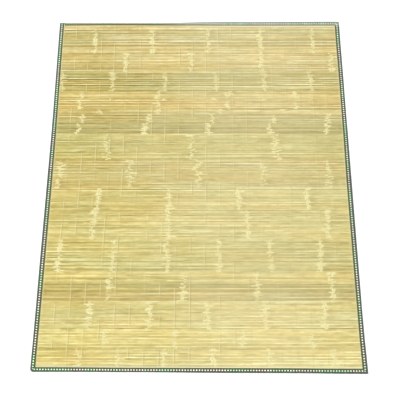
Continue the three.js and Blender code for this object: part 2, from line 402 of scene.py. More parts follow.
@dataclass(frozen=True)
class BambooFinish:
    """Dried bamboo: glossy skin with long fibres, pale joints, and dull pith underneath.

    The mesh gives the skin's colour in the attribute Tint, whose alpha is 1 on the skin and 0 on
    the pith, a random number for each slat in Lot and the distances from the tape's inner edges
    in Rim. The map SlatMap holds the distance along the slat from its nearest joint and the place
    across it, and JointMap how strong that joint's pale patch is and how far it reaches.

    A scale says how quickly a noise changes along X, Y and Z, and rates how quickly it changes
    along a slat and from slat to slat. A range holds the brightness at the noise's two ends. A
    share says how far one colour covers another, ragged how far a patch's edge wanders, and
    depth scales the whole colour.
    """

    joint_colour: Triple = (255, 246, 181)
    scar_colour: Triple = (166, 134, 74)
    shade_colour: Triple = (176, 158, 96)
    # Pale, cool colour of the painted sheen right of the mat's middle, and of the pale line along the tape.
    sheen_and_rim_colour: Triple = (250, 243, 198)
    speck_colour: Triple = (112, 88, 52)
    orange_turn: Triple = (1.026, 0.989, 0.74)
    green_turn: Triple = (0.974, 1.011, 0.87)
    depth: float = 0.749
    near_right_gain: float = 0.12

    skin_roughness: float = 0.44
    pith_roughness: float = 0.75
    joint_roughness: float = 0.14
    fibre_roughness: float = 0.05
    fibre_depth: float = 0.10 * MM
    ridge_depth: float = 0.30 * MM

    streak_scale: Triple = (2.6, 240.0, 60.0)
    streak_range: Pair = (0.86, 1.14)
    length_rates: Triple = (6.5, 173.0, 0.0)
    length_range: Pair = (0.85, 1.15)
    dash_rates: Triple = (26.0, 311.0, 4.0)
    dash_range: Pair = (0.92, 1.08)
    dark_rates: Triple = (8.0, 57.0, 9.0)
    dark_range: Pair = (1.0, 0.76)
    fibre_scale: Triple = (22.0, 2600.0, 1400.0)
    fibre_range: Pair = (0.93, 1.07)
    slow_scale: Triple = (0.8, 14.0, 1.0)
    slow_range: Pair = (0.91, 1.09)
    hue_scale: Triple = (2.2, 12.0, 1.0)
    thread_scale: Triple = (6.0, 9.0, 1.0)
    ragged_scale: Triple = (60.0, 420.0, 100.0)
    speck_scale: Triple = (90.0, 500.0, 200.0)

    # How far the painted sheen pales the skin at its strongest.
    painted_sheen_share: float = 0.25
    thread_pale_share: float = 0.42
    # How dark the threads' painted shadow is.
    thread_shadow_share: float = 0.40
    ragged: float = 5 * MM
    shade_share: float = 0.30
    scar_half: float = 1.1 * MM
    scar_share: float = 0.55
    speck_share: float = 0.6
    side_rim_share: float = 0.30

    def brightness(self, w: Wires, own: Socket, lot: Socket, place: Socket, fibre: Socket) -> Socket:
        """Brightness of the skin, the product of all that varies it.

        These are long streaks, lengths and dashes that differ, a rare dark length, fibres, slow
        shades over the mat and a brighter part at the mat's lower right.

        Args:
            w: the material's wires.
            own: places, shifted by a random step for each slat.
            lot: the slat's random number.
            place: places on the mat.
            fibre: the fibres' noise.

        Returns:
            A factor about 1.
        """
        x, y, _ = w.parts(place)
        streak = w.noise(w.scaled(own, self.streak_scale), 1.0, 3.0, 0.6)
        length = w.slat_noise(x, lot, self.length_rates, 3.0, 0.65)
        dash = w.slat_noise(x, lot, self.dash_rates, 1.0)
        dark = w.slat_noise(x, lot, self.dark_rates, 0.0)
        slow = w.noise(w.scaled(place, self.slow_scale), 1.0, 2.0, 0.6)
        near_right = w.product(w.span(x, -0.10, 0.55), w.span(y, -0.60, -0.82), self.near_right_gain)
        return w.product(
            w.span(streak, 0.25, 0.75, self.streak_range),
            w.span(length, 0.30, 0.70, self.length_range),
            w.span(dash, 0.32, 0.68, self.dash_range),
            w.span(dark, 0.68, 0.76, self.dark_range),
            w.span(fibre, 0.2, 0.8, self.fibre_range),
            w.span(slow, 0.30, 0.70, self.slow_range),
            w.math("ADD", near_right, 1.0),
        )

    def skin(self, w: Wires, tint: Socket, factor: Socket, place: Socket) -> Socket:
        """Colour of the skin: its tint made brighter, turned in hue and given a painted sheen.

        The painted sheen, a pale cool reflection, starts at the mat's left, is strongest right of its
        middle and fades again.

        Args:
            w: the material's wires.
            tint: the mesh's own colour.
            factor: the brightness.
            place: places on the mat.

        Returns:
            The colour.
        """
        paled = w.vector(*(w.math("POWER", factor, power) for power in PALING))
        colour = w.mix(1.0, tint, paled, "MULTIPLY")
        hue = w.span(w.noise(w.scaled(place, self.hue_scale), 1.0, 1.0), 0.34, 0.66)
        turned = w.mix(hue, (*self.orange_turn, 1.0), (*self.green_turn, 1.0))
        colour = w.mix(1.0, colour, turned, "MULTIPLY")
        x = w.parts(place)[0]
        # Painted sheen: a pale cool reflection laid into the colour, from the mat's left to right of its
        # middle.
        drift = w.math("ADD", x, w.span(w.noise(place, 3.0, 2.0), 0.3, 0.7, (-0.15, 0.15)))
        painted_sheen = w.span(drift, -0.60, 0.20, (0.0, self.painted_sheen_share))
        painted_sheen = w.product(painted_sheen, w.span(x, 0.35, 0.75, (1.0, 0.55)))
        return w.mix(painted_sheen, colour, rgba(self.sheen_and_rim_colour))

    def threads(self, w: Wires, colour: Socket, place: Socket) -> Socket:
        """A pale line over each thread row with a painted shadow beside it, here and there.

        Args:
            w: the material's wires.
            colour: the skin's colour.
            place: places on the mat.

        Returns:
            The colour with the lines.
        """
        x, y, _ = w.parts(place)
        row = w.math("SUBTRACT", x, STRINGS.start)
        for height, rate, phase in STRINGS.waves:
            turn = w.math("ADD", w.product(y, rate), phase)
            row = w.math("SUBTRACT", row, w.product(w.math("SINE", turn), height))
        row = w.math("WRAP", row, STRINGS.pitch / 2, -STRINGS.pitch / 2)
        shown = w.span(w.noise(w.scaled(place, self.thread_scale), 1.0, 1.0), 0.45, 0.60)
        shown = w.product(shown, w.span(x, 0.35, -0.05, (0.35, 1.0)))
        pale = w.span(w.math("ABSOLUTE", row), 3.6 * MM, 1.2 * MM)
        # Painted shadow: a dark line 5 mm to the right of each thread's pale line.
        beside = w.math("ABSOLUTE", w.math("SUBTRACT", row, 5 * MM))
        dark = w.span(beside, 3.6 * MM, 1.0 * MM)
        colour = w.mix(w.product(pale, shown, self.thread_pale_share), colour, rgba(self.joint_colour))
        return w.mix(w.product(dark, shown, self.thread_shadow_share), colour, rgba(self.shade_colour))

    def joint_patch(self, w: Wires, from_joint: Socket, own: Socket) -> Socket:
        """How far a joint's pale patch covers the skin, with edges that wander by a noise.

        Args:
            w: the material's wires.
            from_joint: distance along the slat from its nearest joint.
            own: places, shifted by a random step for each slat.

        Returns:
            The share, from 0 to the patch's own strength.
        """
        strength, reach, _ = w.parts(w.map_place("JointMap"))
        wander = w.noise(w.scaled(own, self.ragged_scale), 1.0, 2.0, 0.6)
        wander = w.span(wander, 0.2, 0.8, (-self.ragged, self.ragged))
        far = w.math("ADD", w.math("ABSOLUTE", from_joint), wander)
        return w.product(w.span(w.math("DIVIDE", far, reach), 1.45, 0.75), strength)

    def beside_joint(
        self, w: Wires, colour: Socket, lot: Socket, from_joint: Socket, across: Socket
    ) -> Socket:
        """A shade on the right of some slats' joints, and a thin slanting brown scar on each joint.

        Args:
            w: the material's wires.
            colour: the skin's colour.
            lot: the slat's random number.
            from_joint: distance along the slat from its nearest joint.
            across: the place across the slat.

        Returns:
            The colour with shade and scar.
        """
        right = w.product(w.span(from_joint, 4 * MM, 12 * MM), w.span(from_joint, 55 * MM, 20 * MM))
        some = w.span(w.noise(w.vector(w.product(lot, 91.0), 0.0, 2.0), 1.0, 0.0), 0.50, 0.62)
        colour = w.mix(w.product(right, some, self.shade_share), colour, rgba(self.shade_colour))
        slanted = w.math("ABSOLUTE", w.math("ADD", from_joint, w.product(across, 0.15)))
        scar = w.span(slanted, self.scar_half, 0.4 * MM)
        return w.mix(w.product(scar, self.scar_share), colour, rgba(self.scar_colour))

    def rim(self, w: Wires, place: Socket) -> Socket:
        """How far the pale line along the tape covers the skin, at the ends and the sides.

        At the far end the line is wider than at the near end, and on the mat's left it is
        fainter there.

        Args:
            w: the material's wires.
            place: places on the mat.

        Returns:
            The share.
        """
        x, y, _ = w.parts(place)
        beside, behind, _ = w.parts(w.attribute("Rim").outputs["Vector"])
        far_end = w.product(w.span(x, -0.40, 0.30, (0.25, 0.92)), w.span(behind, 12.5 * MM, 7.0 * MM))
        near_end = w.product(w.span(x, -0.40, 0.30, (0.90, 0.80)), w.span(behind, 9.8 * MM, 4.8 * MM))
        beyond = w.span(y, -0.1, 0.1)
        near_end = w.product(near_end, w.math("SUBTRACT", 1.0, beyond))
        ends = w.math("ADD", w.product(far_end, beyond), near_end)
        sides = w.span(beside, 10 * MM, 4 * MM, (0.0, self.side_rim_share))
        return w.math("MAXIMUM", ends, sides)

    def roughness(self, w: Wires, skin: Socket, patch: Socket, fibre: Socket) -> Socket:
        """Roughness: the skin's or the pith's, more on a joint's patch, and changing with the fibres.

        Args:
            w: the material's wires.
            skin: 1 on the skin and 0 on the pith.
            patch: how far a joint's patch covers the skin.
            fibre: the fibres' noise.

        Returns:
            The roughness, from 0 to 1.
        """
        rough = w.product(skin, self.skin_roughness - self.pith_roughness)
        rough = w.math("ADD", rough, self.pith_roughness)
        rough = w.math("ADD", rough, w.product(patch, self.joint_roughness))
        change = w.span(fibre, 0.2, 0.8, (-self.fibre_roughness, self.fibre_roughness))
        return w.math("ADD", rough, change, clamp=True)

    def material(self) -> bpy.types.Material:
        """The finish as a material: the skin with thread rows, joints, specks and the tape's line.

        Returns:
            The new material.
        """
        w = Wires("bamboo")
        place = w.object_place()
        tint = w.attribute("Tint")
        lot = w.attribute("Lot").outputs["Fac"]
        from_joint, across, _ = w.parts(w.map_place("SlatMap"))
        own = w.moved(place, w.vector(w.product(lot, 9.0), 0.0, w.product(lot, 3.0)))
        fibre = w.noise(w.scaled(own, self.fibre_scale), 1.0, 3.0, 0.65)
        factor = self.brightness(w, own, lot, place, fibre)
        colour = self.skin(w, tint.outputs["Color"], factor, place)
        colour = self.threads(w, colour, place)
        patch = self.joint_patch(w, from_joint, own)
        colour = w.mix(patch, colour, rgba(self.joint_colour))
        colour = self.beside_joint(w, colour, lot, from_joint, across)
        speck = w.span(w.noise(w.scaled(own, self.speck_scale), 1.0, 1.0), 0.76, 0.80)
        colour = w.mix(w.product(speck, self.speck_share), colour, rgba(self.speck_colour))
        colour = w.mix(self.rim(w, place), colour, rgba(self.sheen_and_rim_colour))
        colour = w.gain(colour, self.depth)

        rough = self.roughness(w, tint.outputs["Alpha"], patch, fibre)
        ridge = w.span(w.math("ABSOLUTE", from_joint), 2.2 * MM, 0.4 * MM)
        normal = w.bump(ridge, self.ridge_depth, 0.8, w.bump(fibre, self.fibre_depth))
        w.surface(Base_Color=colour, Roughness=rough, Normal=normal, IOR=1.45)
        return w.material


@dataclass(frozen=True)
class TapeFinish:
    """Woven tape: a chain of rings between two dark stripes, in a fine weave.

    The map TapeMap holds the place along the tape and the distance from its front edge, both in
    metres. The pattern is the same from either edge. link_place is how far from a ring's middle
    its two white links lie. The ground is link_ground wide from the chain's middle at a link
    and gap_ground halfway between two links. A range holds the brightness at a noise's ends.
    """

    inner_stripe: Triple = (72, 82, 38)
    outer_stripe: Triple = (68, 78, 70)
    green_ground: Triple = (56, 92, 52)
    grey_ground: Triple = (76, 70, 56)
    green_link: Triple = (226, 255, 216)
    grey_link: Triple = (255, 248, 234)
    eye: Triple = (16, 20, 14)
    # Pale colour of the painted sheen on the tape at the far end.
    far_sheen_colour: Triple = (196, 204, 186)
    repeat: float = 25.4 * MM
    link_place: float = 6.35 * MM
    link_half: float = 3.5 * MM
    eye_half: float = 2.5 * MM
    link_ground: float = 4.4 * MM
    gap_ground: float = 7.4 * MM
    flat_width: float = 50 * MM
    chain_middle: float = 11.0 * MM
    weave_pitch: float = 0.9 * MM
    weave_depth: float = 0.16 * MM
    wear_depth: float = 0.4 * MM
    weave_shade_range: Pair = (0.88, 1.12)
    wear_range: Pair = (0.85, 1.15)
    far_sheen_share: float = 0.30

    def diamond(self, w: Wires, far: Socket, off_middle: Socket, half: float) -> Socket:
        """How far a rounded diamond covers the tape.

        The sum of the two distances, each over the diamond's half and to the power 1.5, is 1 on
        its outline.

        Args:
            w: the material's wires.
            far: distance from its middle along the tape.
            off_middle: distance from the chain's middle, across the tape.
            half: half of its length and of its width.

        Returns:
            The share, from 1 inside to 0 outside.
        """
        long, wide = (w.math("POWER", w.math("DIVIDE", part, half), 1.5) for part in (far, off_middle))
        return w.span(w.math("ADD", long, wide), 1.15, 0.85)

    def pattern(self, w: Wires, along: Socket, across: Socket, place: Socket) -> Socket:
        """The woven pattern: two stripes, and a ground with white links and dark eyes over them.

        The ground's edge is a zigzag, narrow at the white links and wide between them. Slow noise
        turns the colours between green and grey, and at the far end a painted sheen makes them paler.

        Args:
            w: the material's wires.
            along: the place along the tape.
            across: distance from the tape's front edge.
            place: places on the mat.

        Returns:
            The colour.
        """
        edge = w.math("MINIMUM", across, w.math("SUBTRACT", self.flat_width, across))
        offset = w.math("SUBTRACT", edge, self.chain_middle)
        off_middle = w.math("ABSOLUTE", offset)
        turn = w.math("ABSOLUTE", w.math("WRAP", along, self.repeat / 2, -self.repeat / 2))
        from_link = w.math("ABSOLUTE", w.math("SUBTRACT", turn, self.link_place))
        spread = w.product(from_link, (self.gap_ground - self.link_ground) / self.link_place)
        inside = w.math("SUBTRACT", off_middle, w.math("ADD", spread, self.link_ground))
        cool = w.span(w.noise(place, 9.0, 2.0, 0.6), 0.40, 0.60)
        ground = w.mix(cool, rgba(self.grey_ground), rgba(self.green_ground))
        link = w.mix(cool, rgba(self.grey_link), rgba(self.green_link))
        stripe = w.span(offset, -1 * MM, 1 * MM)
        colour = w.mix(stripe, rgba(self.inner_stripe), rgba(self.outer_stripe))
        colour = w.mix(w.span(inside, 0.5 * MM, -0.5 * MM), colour, ground)
        colour = w.mix(self.diamond(w, turn, off_middle, self.eye_half), colour, rgba(self.eye))
        colour = w.mix(self.diamond(w, from_link, off_middle, self.link_half), colour, link)
        x, y, _ = w.parts(place)
        # Painted sheen: the tape at the far end, right of the middle, paler as where it catches the light.
        far_sheen = w.product(w.span(y, 0.965, 0.985), w.span(x, -0.25, 0.05, (0.0, self.far_sheen_share)))
        return w.mix(far_sheen, colour, rgba(self.far_sheen_colour))

    def material(self) -> bpy.types.Material:
        """The finish as a material: the pattern with painted shade in the weave's hollows, bent by the weave,
        and varied and bent by wear.

        Two waves across each other make the weave, and a noise the wear.

        Returns:
            The new material.
        """
        w = Wires("woven_tape")
        along, across, _ = w.parts(w.map_place("TapeMap"))
        place = w.object_place()
        colour = self.pattern(w, along, across, place)
        rate = 2 * math.pi / self.weave_pitch
        weave = w.product(*(w.math("SINE", w.product(part, rate)) for part in (along, across)))
        # Painted shade: darker where the weave's bump is low.
        colour = w.gain(colour, w.span(weave, -1.0, 1.0, self.weave_shade_range))
        worn = w.noise(place, 40.0, 3.0)
        colour = w.gain(colour, w.span(worn, 0.25, 0.75, self.wear_range))
        normal = w.bump(w.span(weave, -1.0, 1.0), self.weave_depth)
        normal = w.bump(worn, self.wear_depth, 0.5, normal)
        w.surface(Base_Color=colour, Roughness=0.82, Normal=normal, Sheen_Weight=0.25, Sheen_Roughness=0.5)
        return w.material


@dataclass(frozen=True)
class ThreadFinish:
    """Twisted sewing thread of one colour, with a fine slanting twist."""

    name: str
    colour: Triple
    twist_pitch: float = 0.7 * MM
    twist_depth: float = 0.08 * MM

    def material(self) -> bpy.types.Material:
        """The finish as a material: waves at a slant bend the surface and darken its grooves as painted
        shade.

        Returns:
            The new material.
        """
        w = Wires(self.name)
        x, y, z = w.parts(w.object_place())
        slant = w.math("ADD", w.math("ADD", x, y), w.product(z, 2.0))
        twist = w.math("SINE", w.product(slant, 2 * math.pi / self.twist_pitch))
        # Painted shade: darker where the twist's bump is low.
        colour = w.gain(rgba(self.colour), w.span(twist, -1.0, 1.0, (0.8, 1.1)))
        normal = w.bump(w.span(twist, -1.0, 1.0), self.twist_depth)
        w.surface(Base_Color=colour, Roughness=0.7, Normal=normal)
        return w.material


@dataclass(frozen=True)
class FloorFinish:
    """A plain, pale, matt floor."""

    colour: Triple = (250, 250, 249)

    def material(self) -> bpy.types.Material:
        """The finish as a material, with a very faint mottle.

        Returns:
            The new material.
        """
        w = Wires("pale_floor")
        mottle = w.noise(w.object_place(), 1.5, 2.0)
        colour = w.gain(rgba(self.colour), w.span(mottle, 0.2, 0.8, (0.99, 1.0)))
        w.surface(Base_Color=colour, Roughness=0.9)
        return w.material


def mesh_piece(name: str, points: np.ndarray, faces: list, material: bpy.types.Material) -> Piece:
    """Makes a mesh object at the origin from its points and faces.

    Args:
        name: the piece's name.
        points: places in metres, one row a point.
        faces: lists of point numbers, counterclockwise seen from outside.
        material: the finish.

    Returns:
        The new object, linked to the scene and shaded smooth.
    """
    mesh = bpy.data.meshes.new(name)
    mesh.from_pydata(points.tolist(), [], faces)
    mesh.materials.append(material)
    mesh.polygons.foreach_set("use_smooth", np.ones(len(mesh.polygons), bool))
    mesh.update()
    piece = bpy.data.objects.new(name, mesh)
    bpy.context.scene.collection.objects.link(piece)
    return piece


def grid_faces(rows: int, columns: int) -> np.ndarray:
    """Quads between the rows of a grid of points, where each row closes on itself.

    Each quad takes the point (row, column), the next in its row, and the two across from them in
    the next row. Seen from outside it turns counterclockwise where the rows come towards the
    viewer of a counterclockwise section.

    Args:
        rows: how many rows of points there are.
        columns: how many points a row has.

    Returns:
        Point numbers, shaped (rows - 1, columns, 4).
    """
    row, column = np.meshgrid(np.arange(rows - 1), np.arange(columns), indexing="ij")
    here = row * columns + column
    beside = row * columns + (column + 1) % columns
    return np.stack([here, beside, beside + columns, here + columns], axis=-1)


def strips(name: str, rings: np.ndarray, material: bpy.types.Material) -> Piece:
    """Makes one piece of many closed strips, each a ring of points carried along a line.

    Args:
        name: the piece's name.
        rings: places in metres, by strip, row along it, point of the ring and axis. Seen from
            where a strip goes to, a ring turns counterclockwise.
        material: the finish.

    Returns:
        The new object. Its walls come first, strip by strip and row by row, then its two caps.
    """
    count, rows, ring = rings.shape[:3]
    first = (np.arange(count) * rows * ring)[:, None]
    walls = (grid_faces(rows, ring).reshape(-1, 4)[None] + first[:, :, None]).reshape(-1, 4)
    start = first + np.arange(ring)[::-1]
    end = first + (rows - 1) * ring + np.arange(ring)
    faces = walls.tolist() + start.tolist() + end.tolist()
    return mesh_piece(name, rings.reshape(-1, 3), faces, material)


@dataclass
class SlatPanel:
    """The panel of split bamboo slats, strung side by side, one piece for each culm's run."""

    outline: Outline
    material: bpy.types.Material
    count: int = 296
    end_inset: float = 8 * MM
    underside: float = 0.9 * MM
    thickness: float = 2.0 * MM
    mean_gap: float = 0.6 * MM
    width_spread: float = 0.22 * MM
    width_change: float = 0.012
    rise_limit: float = 0.05 * MM
    tilt_spread_deg: float = 0.7

    joint_half: float = 7 * MM
    joint_rise: float = 0.16 * MM
    joint_drift: float = 1.2 * MM
    joint_spread: float = 5.0 * MM
    joint_limit: float = 17 * MM
    joint_clear: float = 9 * MM
    patch_strength: Pair = (4.5, 0.7)
    patch_reach: Pair = (-5.1, 0.60)
    reach_limits: Pair = (3.5 * MM, 20 * MM)

    level_spread: float = 0.085
    pale_level: float = 0.17
    dark_level: float = -0.23
    length_spread: float = 0.088
    hue_spread: float = 0.012
    hue_turn: Triple = (1.0, -0.2, -2.2)
    pith_colour: Triple = (226, 205, 158)
    pith_share: float = 0.65

    # Slow waves of the slats' lines: height, rates along X and Y in radians a metre, and phase.
    lean_waves: tuple[tuple[float, float, float, float], ...] = (
        (0.50 * MM, 3.1, 2.2, 0.4),
        (0.35 * MM, 7.3, -4.1, 1.9),
        (0.20 * MM, 15.7, 9.0, 3.0),
    )

    # The section of one slat: place across it as a share of its width, and height as a share of
    # its thickness, counterclockwise seen from +X. Its sharp corners are at the foot and the side.
    section_across = np.array([-0.47, 0.47, 0.50, 0.29, 0.0, -0.29, -0.50])
    section_height = np.array([0.0, 0.0, 0.75, 0.95, 1.0, 0.95, 0.75])
    section_skin = np.array([0.0, 0.0, 1.0, 1.0, 1.0, 1.0, 1.0])
    sharp_corners = np.array([0, 1, 2, 6])

    def pitch(self) -> float:
        """Distance from slat to slat along Y."""
        return 2 * (self.outline.half_length - self.end_inset) / self.count

    def middles(self) -> np.ndarray:
        """Y of each slat's middle line, from the top of the mat down."""
        return self.outline.half_length - self.end_inset - (np.arange(self.count) + 0.5) * self.pitch()

    def lean(self, x: np.ndarray, y: np.ndarray) -> np.ndarray:
        """How far the slats at a place are shifted along Y: the sum of the slow waves."""
        return sum(height * np.sin(a * x + b * y + phase) for height, a, b, phase in self.lean_waves)

    def slat_gains(self, from_top: np.ndarray, contrast: float, rng: np.random.Generator) -> np.ndarray:
        """Brightness of each slat: a random level, or a fixed one where a slat stands out.

        Args:
            from_top: each slat's distance from the top edge, in millimetres.
            contrast: how much the culm's slats differ.
            rng: the random numbers.

        Returns:
            One factor for each slat.
        """
        level = rng.normal(0.0, self.level_spread, len(from_top))
        half = self.pitch() / MM / 2
        for places, fixed in ((DARK_SLATS, self.dark_level), (PALE_SLATS, self.pale_level)):
            chosen = (np.abs(from_top[:, None] - np.array(places)) < half).any(axis=1)
            level = np.where(chosen, fixed, level)
        return set_off(contrast * level)

    def stations(
        self, joints: np.ndarray, left: np.ndarray, right: np.ndarray
    ) -> tuple[np.ndarray, np.ndarray]:
        """Places along each slat where it has a section: ends, joints and the middles between.

        Args:
            joints: X of each slat's joints, one row a slat.
            left: X of each slat's left end.
            right: X of each slat's right end.

        Returns:
            The places, one row a slat, and the joint that each span between them belongs to.
        """
        count = joints.shape[1]
        reach = np.array([-1.0, 0.0, 1.0]) * self.joint_half
        columns = [left[:, None]]
        for index in range(count):
            columns.append(joints[:, [index]] + reach)
            if index + 1 < count:
                columns.append((joints[:, [index]] + joints[:, [index + 1]]) / 2)
        columns.append(right[:, None])
        return np.concatenate(columns, axis=1), np.repeat(np.arange(count), 4)

    def run(self, number: int, culm: Culm, middles: np.ndarray) -> Piece:
        """Builds one culm's run of slats as one mesh of closed, crowned strips.

        A slat's surface is its section carried along X: the point at place s and share a across
        it lies at the slat's middle line, shifted by the panel's slow lean, plus a times the
        slat's width, and its height is the section's height times the thickness, with a low
        swelling at each joint and the slat's own small tilt. A joint lies at the culm's place for
        it, plus a drift that adds up from slat to slat and a scatter of its own.

        Args:
            number: the run's place in the table of culms.
            culm: its joints and its look.
            middles: Y of the slats' middle lines.

        Returns:
            The finished piece.
        """
        rng = np.random.default_rng(SEED + number)
        slats = len(middles)
        left = self.outline.left(middles) + self.end_inset
        right = self.outline.right(middles) - self.end_inset
        drift = np.cumsum(rng.normal(0.0, self.joint_drift, (slats, len(culm.joints))), axis=0)
        scatter = culm.scatter * rng.normal(0.0, self.joint_spread, drift.shape)
        scatter = np.clip(scatter, -self.joint_limit, self.joint_limit)
        joints = np.array(culm.joints) * MM + drift - drift.mean(axis=0) + scatter
        joints = np.clip(joints, left[:, None] + self.joint_clear, right[:, None] - self.joint_clear)
        places, owner = self.stations(joints, left, right)
        steps = places.shape[1]

        widths = self.pitch() - self.mean_gap - np.abs(rng.normal(0.0, self.width_spread, slats))
        width = widths[:, None] * (1 + rng.normal(0.0, self.width_change, (slats, steps)))
        swell = np.zeros(steps)
        swell[2:-1:4] = 1.0
        rise = rng.uniform(-self.rise_limit, self.rise_limit, slats)
        tilt = np.tan(np.radians(rng.normal(0.0, self.tilt_spread_deg, slats)))

        centre = middles[:, None] + self.lean(places, middles[:, None])
        across = self.section_across * width[:, :, None]
        height = self.section_height * self.thickness
        z = self.underside + height + across * tilt[:, None, None] + rise[:, None, None]
        z = z + swell[:, None] * self.section_skin * self.joint_rise
        x = np.broadcast_to(places[:, :, None], across.shape)
        points = np.stack([x, centre[:, :, None] + across, z], axis=-1)
        piece = strips(f"slats_{number:02d}", points, self.material)
        self.paint(piece, culm, middles, owner, steps, rng)
        rim = self.outline.inside_tape(points[..., 0], points[..., 1]).astype(np.float32)
        piece.data.attributes.new("Rim", "FLOAT_VECTOR", "POINT").data.foreach_set("vector", rim.ravel())
        self.map_joints(piece, places, owner, culm.paleness, rng)
        self.mark_edges(piece, slats * (steps - 1))
        return piece

    def paint(
        self,
        piece: Piece,
        culm: Culm,
        middles: np.ndarray,
        owner: np.ndarray,
        steps: int,
        rng: np.random.Generator,
    ) -> None:
        """Stores the slats' colours and their random numbers.

        A slat's colour is the culm's tone times its own brightness, times a smaller factor for
        each length between joints, with a little green or red of its own.

        Args:
            piece: the run's object.
            culm: its tone, level and contrast.
            middles: Y of the slats' middle lines.
            owner: the joint that each span between sections belongs to.
            steps: how many sections a slat has.
            rng: the random numbers.
        """
        slats, sides = len(middles), len(self.section_across)
        from_top = (self.outline.half_length - middles) / MM
        gains = self.slat_gains(from_top, culm.contrast, rng)
        lengths = rng.normal(0.0, self.length_spread, (slats, owner.max() + 2))
        lengths = set_off(culm.contrast * lengths)
        length_of = np.minimum(np.arange(steps + 1) // 4, owner.max() + 1)[:steps]
        factor = gains[:, None] * lengths[:, length_of]
        skin = linear(culm.tone.value) * culm.level * factor[:, :, None] ** np.array(PALING)
        hue = rng.normal(0.0, self.hue_spread, slats)
        skin = skin * (1 + hue[:, None, None] * np.array(self.hue_turn))
        pith = (1 - self.pith_share) * skin + self.pith_share * linear(self.pith_colour)
        share = self.section_skin[:, None]
        tint = skin[:, :, None, :] * share + pith[:, :, None, :] * (1 - share)
        alpha = np.broadcast_to(share, (*tint.shape[:3], 1))
        colours = np.concatenate([np.clip(tint, 0, 1), alpha], axis=-1)
        mesh = piece.data
        layer = mesh.attributes.new("Tint", "FLOAT_COLOR", "POINT")
        layer.data.foreach_set("color", colours.astype(np.float32).ravel())
        lots = np.repeat(rng.uniform(0.0, 1.0, slats), steps * sides)
        mesh.attributes.new("Lot", "FLOAT", "POINT").data.foreach_set("value", lots.astype(np.float32))

    def map_joints(
        self,
        piece: Piece,
        places: np.ndarray,
        owner: np.ndarray,
        paleness: float,
        rng: np.random.Generator,
    ) -> None:
        """Stores the map of distances from the joints, and the map of each joint's pale patch.

        A patch's strength is a random share, mostly near 1, times the run's paleness, and its
        reach the exponential of a normal number.

        Args:
            piece: the run's object.
            places: X of the sections, one row a slat.
            owner: the joint that each span between sections belongs to.
            paleness: how strong the run's patches are.
            rng: the random numbers.
        """
        sides = len(self.section_across)
        slats, spans = len(places), places.shape[1] - 1
        joint = places[:, 2 + 4 * owner]
        low, high = places[:, :-1] - joint, places[:, 1:] - joint
        across = self.section_across * self.pitch()
        beyond = np.roll(across, -1)
        shape = (slats, spans, sides, 4)
        u = np.broadcast_to(np.stack([low, low, high, high], axis=-1)[:, :, None, :], shape)
        v = np.broadcast_to(np.stack([across, beyond, beyond, across], axis=-1), shape)
        each = (slats, owner.max() + 1)
        strength = np.minimum(paleness * rng.beta(*self.patch_strength, each), 1.0)
        reach = np.clip(np.exp(rng.normal(*self.patch_reach, each)), *self.reach_limits)
        values = (part[:, owner, None, None] for part in (strength, reach))
        patch = np.stack([np.broadcast_to(value, shape) for value in values], axis=-1)
        caps = np.full((slats * 2 * sides, 2), 0.1)
        for name, walls in (("SlatMap", np.stack([u, v], axis=-1)), ("JointMap", patch)):
            layer = piece.data.uv_layers.new(name=name)
            whole = np.concatenate([walls.reshape(-1, 2), caps]).astype(np.float32)
            layer.data.foreach_set("uv", whole.ravel())

    def mark_edges(self, piece: Piece, spans: int) -> None:
        """Marks the slats' lower edges and ends as sharp, so that only the crown is smooth.

        Args:
            piece: the run's object.
            spans: how many spans between sections all its slats have.
        """
        mesh = piece.data
        sides = len(self.section_across)
        loops = np.zeros(len(mesh.loops), np.int32)
        mesh.loops.foreach_get("edge_index", loops)
        sharp = np.zeros(len(mesh.edges), bool)
        walls = loops[:spans * sides * 4].reshape(spans, sides, 4)
        sharp[walls[:, self.sharp_corners, 3]] = True
        sharp[loops[walls.size:]] = True
        mesh.attributes.new("sharp_edge", "BOOLEAN", "EDGE").data.foreach_set("value", sharp)

    def build(self) -> list[Piece]:
        """Builds every run and says what each is.

        Returns:
            The pieces, from the top of the mat down.
        """
        middles = self.middles()
        from_top = (self.outline.half_length - middles) / MM
        ends = [culm.start for culm in CULMS[1:]] + [2 * self.outline.half_length / MM]
        pieces = []
        for number, (culm, end) in enumerate(zip(CULMS, ends)):
            run = middles[(from_top >= culm.start) & (from_top < end)]
            piece = self.run(number, culm, run)
            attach(piece, "root")
            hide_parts("slat_panel")
            len(run) * self.pitch()
            LOG.info("%s: %d slats of %s", piece.name, len(run), culm.tone.name)
            pieces.append(piece)
        return pieces


@dataclass(frozen=True)
class Side:
    """One side of the tape's run, clockwise round the mat.

    corner holds the signs of X and Y of the corner that it ends in, and radius how round the
    fold turns there.
    """

    name: str
    along: tuple[int, int]
    corner: tuple[int, int]
    radius: float


SIDES = (
    Side("top", (1, 0), (1, 1), 2.5 * MM),
    Side("right", (0, -1), (1, -1), 2.5 * MM),
    Side("bottom", (-1, 0), (-1, -1), 15 * MM),
    Side("left", (0, 1), (-1, 1), 0.0),
)


